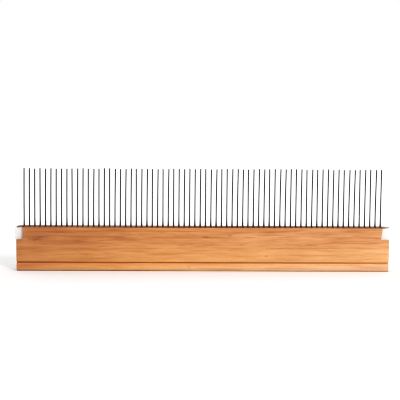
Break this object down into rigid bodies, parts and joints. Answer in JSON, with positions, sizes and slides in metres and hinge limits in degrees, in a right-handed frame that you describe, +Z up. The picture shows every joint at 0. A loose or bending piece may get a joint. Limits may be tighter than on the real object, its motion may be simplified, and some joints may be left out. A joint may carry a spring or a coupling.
{
  "type": "single-row pin loom",
  "caption": "Wooden bar with one row of fine upright steel pins and stepped ends, for hand knitting, weaving and spacing warp threads.",
  "frame": {"origin": "middle of the underside, where the bar stands on a table", "axes": "+X along the bar to the right, +Y from the grooved front face to the back, +Z up along the pins"},
  "size_m": [0.3514, 0.016, 0.0959],
  "materials": {
    "varnished_wood": "satin",
    "white_plastic": "matte",
    "brown_laminate": "satin",
    "dark_steel": "satin"
  },
  "bodies": {
    "root": {"base_rail": "varnished_wood", "front_board": "varnished_wood", "back_board": "varnished_wood", "pin_core": "white_plastic", "cap_strip": "brown_laminate", "hairpin_01": "dark_steel", "hairpin_02": "dark_steel", "hairpin_03": "dark_steel", "hairpin_04": "dark_steel", "hairpin_05": "dark_steel", "hairpin_06": "dark_steel", "hairpin_07": "dark_steel", "hairpin_08": "dark_steel", "hairpin_09": "dark_steel", "hairpin_10": "dark_steel", "hairpin_11": "dark_steel", "hairpin_12": "dark_steel", "hairpin_13": "dark_steel", "hairpin_14": "dark_steel", "hairpin_15": "dark_steel", "hairpin_16": "dark_steel", "hairpin_17": "dark_steel", "hairpin_18": "dark_steel", "hairpin_19": "dark_steel", "hairpin_20": "dark_steel", "hairpin_21": "dark_steel", "hairpin_22": "dark_steel", "hairpin_23": "dark_steel", "hairpin_24": "dark_steel", "hairpin_25": "dark_steel", "hairpin_26": "dark_steel", "hairpin_27": "dark_steel", "hairpin_28": "dark_steel", "hairpin_29": "dark_steel", "hairpin_30": "dark_steel", "hairpin_31": "dark_steel", "hairpin_32": "dark_steel", "hairpin_33": "dark_steel", "hairpin_34": "dark_steel"}
  },
  "joints": []
}
